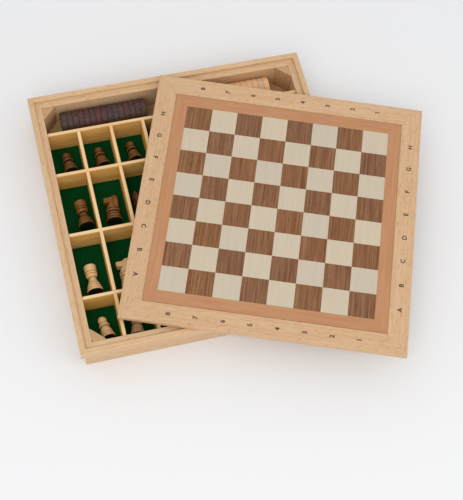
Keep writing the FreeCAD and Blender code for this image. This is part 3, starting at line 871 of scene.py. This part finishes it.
class GAMESET_OT_board_frame(bpy.types.Operator):
    """Build the board's mitred rails with their printed marks, and finish its core"""

    bl_idname = "gameset.board_frame"
    bl_label = "Board frame"

    def execute(self, context):
        sizes, colours = context.scene.set_sizes, context.scene.set_colours
        timber = lacquered_rubberwood("lacquered_rubberwood_board", colours.rail)
        half = board_half("lid_rail_front")
        low, high = (corner[2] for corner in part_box("lid_rail_front"))
        groove_low, groove_high = (corner[2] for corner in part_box("board_core"))
        wide = half - BOARD_OPENING
        deep = half - board_half("board_core")
        ease = sizes.rail_ease
        rail = eased_outline(
            [
                (0, low), (wide, low), (wide, groove_low), (deep, groove_low),
                (deep, groove_high), (wide, groove_high), (wide, high), (0, high),
            ],
            (ease, ease / 2, 0, 0, 0, 0, ease / 2, ease),
        )
        for side, bar in zip(QUARTERS, frame_bars(half, rail)):
            groups = [(timber, [on_board(bar)])]
            make_piece("rail_board_" + side, groups, "lid", ["lid_rail_" + side])
        reach = (half + BOARD_OPENING) / 2
        marks = rail_marks(sizes.mark_height, sizes.mark_relief, high, reach)
        ink = printing_ink(colours.mark)
        make_piece("rail_marks", [(ink, marks)], "lid", [], weighted=False)
        refinish("board_core", sanded_plywood("sanded_plywood_core", colours.plywood, BOARD_TURN))
        return {"FINISHED"}


class GAMESET_OT_chess_face(bpy.types.Operator):
    """Build the reddish border and the sixty-four veneer squares"""

    bl_idname = "gameset.chess_face"
    bl_label = "Chess face"

    def execute(self, context):
        sizes, colours = context.scene.set_sizes, context.scene.set_colours
        low, high = (corner[2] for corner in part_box("chess_border"))
        wide = BOARD_OPENING - FIELD_HALF
        ease, gap = sizes.veneer_ease, sizes.veneer_gap
        outline = eased_outline([(gap, low), (wide, low), (wide, high), (gap, high)], (0, 0, ease, ease), 2)
        strips = [on_board(bar) for bar in frame_bars(BOARD_OPENING, outline)]
        pearwood = pearwood_veneer(colours.border)
        make_piece("veneer_border", [(pearwood, strips)], "lid", ["chess_border"])
        finishes = {"light": maple_veneer(colours.maple), "dark": walnut_veneer(colours.walnut)}
        for parity, (shade_name, veneer) in enumerate(finishes.items()):
            squares = []
            for column in range(COLUMNS):
                for row in range((column + parity) % 2, COLUMNS, 2):
                    corner = np.array([column * SQUARE - FIELD_HALF, row * SQUARE - FIELD_HALF, low])
                    far = corner + (SQUARE, SQUARE, high - low)
                    squares.append(on_board(eased_box(corner, far, ease, along=1, steps=1)))
            node = shade_name + "_squares"
            make_piece("veneer_" + node, [(veneer, squares)], "lid", [node])
        return {"FINISHED"}


class GAMESET_OT_morris_face(bpy.types.Operator):
    """Finish the underside's veneer and the morris lines let into it"""

    bl_idname = "gameset.morris_face"
    bl_label = "Morris face"

    def execute(self, context):
        colours = context.scene.set_colours
        refinish("morris_panel", birch_veneer(colours.morris, BOARD_TURN))
        refinish("morris_inlay", stained_inlay(colours.inlay, BOARD_TURN))
        return {"FINISHED"}


# How nearly a face must look towards -Y to be taken for the underside of a man.
FACING_SHARE = 0.9


def man_matrix(node):
    """Where a man lies: its felt is the face towards -Y beyond which no point of the man lies.

    The axis is square to that face, and the face's middle is the man's origin. Its own x is level.
    """
    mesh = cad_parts[node].data
    mesh.calc_loop_triangles()
    corners = np.empty(3 * len(mesh.loop_triangles), np.int32)
    mesh.loop_triangles.foreach_get("vertices", corners)
    points = points_of(node)
    triangles = points[corners.reshape(-1, 3)]
    normals = np.cross(triangles[:, 1] - triangles[:, 0], triangles[:, 2] - triangles[:, 0])
    lengths = np.linalg.norm(normals, axis=1)
    facing = normals[:, 1] < -FACING_SHARE * lengths
    normals = normals[facing] / lengths[facing, None]
    middles = triangles[facing].mean(axis=1)
    beyond = (points @ normals.T - (middles * normals).sum(axis=1)).max(axis=0)
    lowest = beyond.argmin()
    axis = -normals[lowest]
    level = np.array([axis[1], -axis[0], 0]) / np.hypot(axis[0], axis[1])
    down = np.cross(axis, level)
    turn = np.stack([level, down, axis], axis=1)
    local = (points - middles[lowest]) @ turn
    rim = local[np.abs(local[:, 2]) < LEVEL / 5]
    matrix = np.eye(4)
    matrix[:3, :3] = turn
    matrix[:3, 3] = middles[lowest] + turn @ np.append((rim.min(axis=0) + rim.max(axis=0))[:2] / 2, 0)
    return matrix


def turned_outline(start, sections, steps=9):
    """Heights and radii up a turned outline from a start height, and its top, all in millimetres.

    Each section is (lower radius, upper radius, length, bulge): a straight taper plus the bulge times the
    sine of half a turn along it. A bead bulges out, by the square root of that sine, and a cove curves in.
    """
    share = (1 - np.cos(np.linspace(0, math.pi, steps))) / 2
    curve = np.sin(share * math.pi).clip(0)
    heights, radii = [], []
    for lower, upper, long, bulge in sections:
        heights.append(start + share * long)
        radii.append(lower + (upper - lower) * share + bulge * (np.sqrt(curve) if bulge > 0 else curve))
        start += long
    return np.concatenate(heights), np.concatenate(radii), start


# The angle at which an egg or ball ends, just short of its tip.
TIP_ANGLE = math.radians(177)


def dome(base, radius, rise, start, steps=16):
    """Heights and radii of an egg on top of an outline.

    They are rise times the cosine and radius times the sine of an angle that runs from start to the tip.
    """
    angle = np.linspace(start, TIP_ANGLE, steps)
    return base - rise * np.cos(angle) + rise * math.cos(start), radius * np.sin(angle)


# Sizes of the men, in millimetres. The sections of each outline run up from its foot.
ROYAL_FOOT = ((8.0, 8.7, 0.8, 0), (8.7, 8.7, 1.4, 0.12), (8.5, 7.4, 0.9, 0), (7.4, 7.5, 1.0, 0.2))
TURNED = {
    "pawn": (
        (6.6, 7.2, 0.5, 0), (7.2, 7.2, 1.2, 0.1), (7.0, 6.0, 0.4, 0), (6.0, 6.0, 0.9, 0),
        (6.7, 6.3, 2.0, 0.2), (5.5, 5.5, 0.9, 0), (6.2, 4.6, 5.4, 0.25), (4.4, 3.2, 0.4, 0),
        (3.2, 3.2, 1.5, 0), (3.3, 5.3, 0.4, 0), (5.5, 5.5, 1.1, 0.12), (5.4, 4.2, 3.1, -0.15),
    ),
    "rook": (
        (7.5, 8.2, 0.6, 0), (8.2, 8.2, 1.4, 0.1), (8.0, 6.8, 0.4, 0), (6.8, 6.8, 1.0, 0),
        (7.4, 7.2, 1.8, 0.2), (6.1, 6.1, 1.0, 0), (6.7, 6.2, 2.0, 0.15), (5.1, 5.0, 0.9, 0),
        (5.7, 3.9, 5.6, -0.2), (3.7, 3.2, 0.3, 0), (3.2, 3.2, 1.2, 0), (4.2, 6.0, 2.6, 0.5),
        (5.0, 5.0, 1.0, 0), (6.0, 6.05, 1.8, 0.1), (5.1, 5.1, 1.0, 0), (6.1, 6.4, 6.6, 0.05),
        (6.4, 6.1, 0.5, 0), (6.1, 4.9, 0.1, 0), (4.9, 4.5, -1.2, 0), (4.5, 0.2, -0.1, 0),
    ),
    "knight": (
        (7.5, 8.2, 0.6, 0), (8.2, 8.2, 1.2, 0.1), (8.0, 6.9, 0.4, 0), (6.9, 6.9, 1.0, 0),
        (7.5, 7.1, 2.6, 0.2), (6.2, 6.2, 1.1, 0), (6.9, 6.6, 2.2, 0.2), (5.6, 5.6, 1.4, 0),
        (7.0, 7.0, 2.4, 0.25), (6.1, 6.1, 1.0, 0), (6.9, 6.7, 1.9, 0.2), (6.7, 6.0, 0.5, 0),
        (6.0, 0.2, 0.05, 0),
    ),
    "bishop": (
        (7.5, 8.2, 0.8, 0), (8.2, 8.2, 1.2, 0.12), (8.0, 7.0, 0.9, 0), (7.0, 7.1, 1.0, 0.2),
        (7.2, 3.9, 13.2, -0.6), (3.6, 3.5, 0.5, 0), (3.5, 3.5, 0.7, 0), (4.2, 4.2, 2.0, 1.2),
        (3.8, 3.9, 1.7, -0.1),
    ),
    "queen": (
        *ROYAL_FOOT, (7.6, 4.2, 15.8, -0.8), (3.9, 3.8, 0.5, 0), (3.8, 3.8, 0.7, 0), (4.5, 4.5, 2.2, 1.3),
        (4.1, 4.4, 3.5, -0.15), (4.6, 6.5, 8.4, -0.45), (6.5, 6.2, 0.6, 0), (6.2, 5.0, 0.2, 0),
        (5.0, 2.4, 2.2, 0.5),
    ),
    "king": (
        *ROYAL_FOOT, (7.6, 4.3, 17.0, -0.9), (4.0, 3.9, 0.5, 0), (3.9, 3.9, 0.7, 0), (4.7, 4.7, 2.4, 1.3),
        (4.3, 4.6, 3.9, -0.15), (4.8, 6.5, 8.0, -0.35), (6.5, 6.3, 0.6, 0), (6.3, 5.3, 0.2, 0),
        (5.3, 1.6, 2.4, 0.7), (1.6, 0.3, 0.1, 0),
    ),
}
BALLS = {"pawn": 4.7, "bishop": 1.6, "queen": 2.4}
PAD = {"thick": 0.6, "inset": 0.7, "bevel_height": 0.1, "bevel_width": 0.15}
MITRE = {"radius": 5.0, "rise": 7.2, "start": math.radians(50), "rings": 34}
KNOB = {"sink": 0.3, "start": math.radians(35)}
SLIT = {"rise": 8.8, "slope": 0.8, "depth": 1.0, "width": 0.5, "end": -0.1}
CROWN = {"deep": 3.6, "girth": 5.9, "wave": 0.22, "points": 8}
CROSS = {"height": 5.6, "span": 5.4, "bar": 1.9, "arm": 3.2, "ease": 0.35}

# A ball starts at this share of its neck's radius, and at no more than this share of its own.
BALL_NECK = 0.96
BALL_MOST = 0.98

# How far a cross or a horse is let into the wood below it.
SEAT = 0.6

# The horse's outline seen from its side, nose to the left, from the front of the chest round to it again.
HORSE = (
    (-4.9, 0), (-5.0, 2.2), (-4.2, 4.2), (-2.6, 5.6), (-3.0, 6.2), (-5.2, 6.4), (-7.8, 6.5), (-8.4, 7.1),
    (-8.7, 11.4), (-8.2, 12.0), (-4.8, 11.9), (-1.4, 12.3), (1.0, 13.8), (2.8, 14.7), (5.0, 14.0),
    (6.3, 12.0), (6.6, 7), (6.4, 3), (6.0, 0),
)

# The middle line of the horse's neck: its x at three heights, and its lowest and highest point.
HORSE_SPINE = ((0, 8, 16), (0.5, 0, 2))
HORSE_NECK = (1, 13)

# Half the horse's thickness, its number of outlines, the depth of the last and the share that draws in.
HORSE_HALF = 3.7
HORSE_RINGS = 13
HORSE_DEPTH = 0.985
HORSE_DRAW = 0.45

# The tone of a horse, and how far the men of one colour differ in tone.
HORSE_TONE = 1.4
MEN_SPREAD = 0.4


def smooth_loop(corners, steps=6):
    """A closed curve through points.

    On each stretch it is the cubic whose slope at an end is half the step between that end's neighbours.
    """
    here = np.array(corners, float)
    ahead, after, before = (np.roll(here, shift, axis=0) for shift in (-1, -2, 1))
    share = np.linspace(0, 1, steps, endpoint=False)[None, :, None]
    first, second = (ahead - before)[:, None] / 2, (after - here)[:, None] / 2
    start, end = here[:, None], ahead[:, None]
    curve = (
        start * (2 * share**3 - 3 * share**2 + 1)
        + first * (share**3 - 2 * share**2 + share)
        + end * (3 * share**2 - 2 * share**3)
        + second * (share**3 - share**2)
    )
    return curve.reshape(-1, 2)


def horse_head(base, tone):
    """The carved horse: its outline carried through the thickness, drawn in near both faces.

    At a depth v from -1 to 1 a part of each point's distance from the neck's middle line shrinks by the
    sixth root of 1 - v**6.
    """
    outline = smooth_loop(HORSE)[::-1]
    spine = np.stack([np.interp(outline[:, 1], *HORSE_SPINE), outline[:, 1].clip(*HORSE_NECK)], axis=-1)
    depth = np.sin(np.linspace(-1, 1, HORSE_RINGS) * math.pi / 2) * HORSE_DEPTH
    share = (1 - depth**6) ** (1 / 6)
    drawn = spine + (1 - HORSE_DRAW + HORSE_DRAW * share)[:, None, None] * (outline - spine)
    through = -depth[:, None] * HORSE_HALF
    rings = stacked(drawn[..., 0], through, drawn[..., 1] + base) * MM
    return tube(rings, np.roll(rings, 1, axis=-1) + own_grain(), tone)


def man_surfaces(kind, tone):
    """The turned wood of one kind of man, standing on its felt at the origin, and that felt."""
    heights, radii, top = turned_outline(PAD["thick"], TURNED[kind])
    extras = []
    swell = None
    if kind == "bishop":
        egg, girth = dome(top, MITRE["radius"], MITRE["rise"], MITRE["start"], MITRE["rings"])
        knob, knob_girth = dome(egg[-1] - KNOB["sink"], BALLS[kind], BALLS[kind], KNOB["start"])
        body = len(heights)
        heights = np.concatenate([heights, egg, knob])
        radii = np.concatenate([radii, girth, knob_girth])
        slant = heights[:, None] - (top + SLIT["rise"]) + SLIT["slope"] * radii[:, None] * np.cos(ANGLES)
        cut = np.exp(-((slant / SLIT["width"]) ** 2))
        swell = -SLIT["depth"] * cut * (np.cos(ANGLES) > SLIT["end"])
        swell[:body] = 0
        swell[-len(knob):] = 0
    elif kind in BALLS:
        start = math.asin(min(BALL_MOST, BALL_NECK * radii[-1] / BALLS[kind]))
        ball, girth = dome(top, BALLS[kind], BALLS[kind], start)
        if kind == "queen":
            rim = (heights > top - CROWN["deep"]) & (radii > CROWN["girth"])
            swell = np.where(rim[:, None], CROWN["wave"] * np.cos(CROWN["points"] * ANGLES), 0)
            swell = np.concatenate([swell, np.zeros((len(ball), AROUND))])
        heights = np.concatenate([heights, ball])
        radii = np.concatenate([radii, girth])
    elif kind == "king":
        bar, span = CROSS["bar"] / 2, CROSS["span"] / 2
        foot, arm = top - SEAT, top + CROSS["arm"] - SEAT
        post = ((-bar, -bar, foot), (bar, bar, foot + CROSS["height"]))
        across = ((-span, -bar, arm - bar), (span, bar, arm + bar))
        for low, high in (post, across):
            extras.append(eased_box(np.array(low) * MM, np.array(high) * MM, CROSS["ease"] * MM, tone=tone))
    elif kind == "knight":
        extras = [horse_head(top - SEAT, HORSE_TONE)]
    swell = None if swell is None else swell * MM
    wood_skin = lathe(heights * MM, radii * MM, swell, tone)
    pad = TURNED[kind][1][0] - PAD["inset"]
    pad_heights = np.array([0, PAD["bevel_height"], PAD["thick"]])
    pad_radii = np.array([pad - PAD["bevel_width"], pad, pad])
    return [wood_skin] + extras, [lathe(pad_heights * MM, pad_radii * MM)]


class GAMESET_OT_chess_men(bpy.types.Operator):
    """Build the thirty-two chess men, each where its solid lies"""

    bl_idname = "gameset.chess_men"
    bl_label = "Chess men"

    def execute(self, context):
        colours = context.scene.set_colours
        finishes = {
            "dark": stained_hornbeam(colours.dark_men),
            "light": lacquered_hornbeam(colours.light_men),
        }
        pad = felt("base_felt", colours.base_felt)
        for node in sorted(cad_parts):
            side, _underscore, rest = node.partition("_")
            kind = rest.split("_")[0]
            if side not in finishes or kind not in TURNED:
                continue
            place = man_matrix(node)
            wooden, felted = man_surfaces(kind, MEN_SPREAD * own_tone())
            groups = [
                (finishes[side], [placed(surface, place) for surface in wooden]),
                (pad, [placed(surface, place) for surface in felted]),
            ]
            make_piece("turned_" + node, groups, node, [node], weighted=False)
        return {"FINISHED"}


# The ring in a draught's face: shares of the radius, and how deep it is there.
RING_SHARES = np.array([0.30, 0.36, 0.42, 0.62, 0.68, 0.74])
RING_DEPTHS = np.array([0, 0.25, 0.3, 0.3, 0.25, 0]) * MM
EDGE_POINTS = 5


def disc_surface(radius, thick, ease, middle, tone):
    """A draught on edge: its outline carried round a level axis, with a shallow ring in each face."""
    turn = np.linspace(0, math.pi / 2, EDGE_POINTS)
    hub = radius / 40
    radii = np.concatenate([[hub], RING_SHARES * radius, radius - ease + ease * np.sin(turn)])
    heights = np.concatenate([[0], RING_DEPTHS, ease - ease * np.cos(turn)])
    heights = np.concatenate([heights, thick - heights[::-1]])
    disc = lathe(heights, np.concatenate([radii, radii[::-1]]), tone=tone)
    spin = Matrix.Rotation(random.uniform(0, 2 * math.pi), 4, "Z")
    on_edge = Matrix.Rotation(math.pi / 2, 4, "Y")
    return placed(disc, Matrix.Translation(Vector(middle)) @ on_edge @ spin)


class GAMESET_OT_draughts(bpy.types.Operator):
    """Build the two stacks of draughts"""

    bl_idname = "gameset.draughts"
    bl_label = "Draughts"

    def execute(self, context):
        sizes, colours = context.scene.set_sizes, context.scene.set_colours
        finishes = {
            "dark": stained_beech(colours.dark_discs),
            "light": lacquered_beech(colours.light_discs),
        }
        for side, finish in finishes.items():
            node = side + "_draughts"
            low, high = (np.array(corner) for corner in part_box(node))
            radius = (high[2] - low[2]) / 2
            pitch = (high[0] - low[0] + DISC_GAP) / DISCS
            middle = (low + high) / 2
            discs = []
            for number in range(DISCS):
                spot = (low[0] + number * pitch, middle[1], middle[2])
                discs.append(disc_surface(radius, pitch - DISC_GAP, sizes.disc_ease, spot, own_tone()))
            make_piece("discs_" + side, [(finish, discs)], node, [node], weighted=False)
        return {"FINISHED"}


# Where the two lamps stand and how wide they are, in metres, and their tint.
KEY_PLACE, KEY_WIDTH = (-0.5, -0.9, 1.35), 1.1
FILL_PLACE, FILL_WIDTH = (1.1, -0.9, 1.0), 1.2
LAMP_TINT = (1, 0.985, 0.96)

# Half the width of the paper, in metres.
PAPER_HALF = 4.0


def lamp(name, place, width, power):
    """A square soft lamp that looks at the middle of the set."""
    data = bpy.data.lights.new(name, "AREA")
    data.size = width
    data.energy = power
    data.color = LAMP_TINT
    holder = bpy.data.objects.new(name, data)
    bpy.context.scene.collection.objects.link(holder)
    holder.location = place
    holder.rotation_euler = (-Vector(place)).to_track_quat("-Z", "Y").to_euler()


class GAMESET_OT_stage(bpy.types.Operator):
    """Set the floor, the light and the camera"""

    bl_idname = "gameset.stage"
    bl_label = "Stage"

    def execute(self, context):
        scene, stage = context.scene, context.scene.set_stage
        half = PAPER_HALF
        mesh = bpy.data.meshes.new("paper_floor")
        corners = [(-half, -half, 0), (half, -half, 0), (half, half, 0), (-half, half, 0)]
        mesh.from_pydata(corners, [], [(0, 1, 2, 3)])
        mesh.materials.append(seamless_paper(scene.set_colours.floor))
        floor = bpy.data.objects.new("paper_floor", mesh)
        scene.collection.objects.link(floor)
        world = bpy.data.worlds.new("even_sky")
        world.use_nodes = True
        sky = world.node_tree.nodes["Background"]
        sky.inputs["Color"].default_value = (1, 1, 1, 1)
        sky.inputs["Strength"].default_value = stage.sky
        scene.world = world
        lamp("key_lamp", KEY_PLACE, KEY_WIDTH, stage.key)
        lamp("fill_lamp", FILL_PLACE, FILL_WIDTH, stage.fill)
        level, rise = stage.azimuth, stage.elevation
        back = Vector((math.sin(level) * math.cos(rise), -math.cos(level) * math.cos(rise), math.sin(rise)))
        data = bpy.data.cameras.new("camera")
        data.lens = stage.lens
        camera = bpy.data.objects.new("camera", data)
        scene.collection.objects.link(camera)
        camera.rotation_mode = "QUATERNION"
        facing = (-back).to_track_quat("-Z", "Y").to_matrix().to_4x4()
        camera.matrix_world = (
            Matrix.Translation(Vector(stage.target) + back * stage.distance)
            @ facing
            @ Matrix.Rotation(stage.roll, 4, "Z")
        )
        scene.camera = camera
        scene.view_settings.view_transform = "Standard"
        return {"FINISHED"}


class GAMESET_PT_panel(bpy.types.Panel):
    """Sizes, colours and operators of the set"""

    bl_idname = "GAMESET_PT_panel"
    bl_label = "Game set"
    bl_space_type = "VIEW_3D"
    bl_region_type = "UI"
    bl_category = "Game set"

    def draw(self, context):
        for group in (context.scene.set_sizes, context.scene.set_colours, context.scene.set_stage):
            box = self.layout.box()
            for name in group.__annotations__:
                box.prop(group, name)
        for operator in OPERATORS:
            self.layout.operator(operator.bl_idname)


GROUPS = {"set_sizes": SetSizes, "set_colours": SetColours, "set_stage": SetStage}
OPERATORS = (
    GAMESET_OT_tray_case,
    GAMESET_OT_lining,
    GAMESET_OT_board_frame,
    GAMESET_OT_chess_face,
    GAMESET_OT_morris_face,
    GAMESET_OT_chess_men,
    GAMESET_OT_draughts,
    GAMESET_OT_stage,
)
CLASSES = (*GROUPS.values(), *OPERATORS, GAMESET_PT_panel)


def register():
    """Register the classes and hang the property groups on the scene."""
    for kind in CLASSES:
        bpy.utils.register_class(kind)
    for name, group in GROUPS.items():
        setattr(bpy.types.Scene, name, PointerProperty(type=group))


def unregister():
    """Undo register."""
    for name in GROUPS:
        delattr(bpy.types.Scene, name)
    for kind in reversed(CLASSES):
        bpy.utils.unregister_class(kind)


def main():
    """Build every piece in order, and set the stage."""
    register()
    bpy.ops.gameset.tray_case()
    bpy.ops.gameset.lining()
    bpy.ops.gameset.board_frame()
    bpy.ops.gameset.chess_face()
    bpy.ops.gameset.morris_face()
    bpy.ops.gameset.chess_men()
    bpy.ops.gameset.draughts()
    bpy.ops.gameset.stage()


if __name__ == "__main__":
    main()
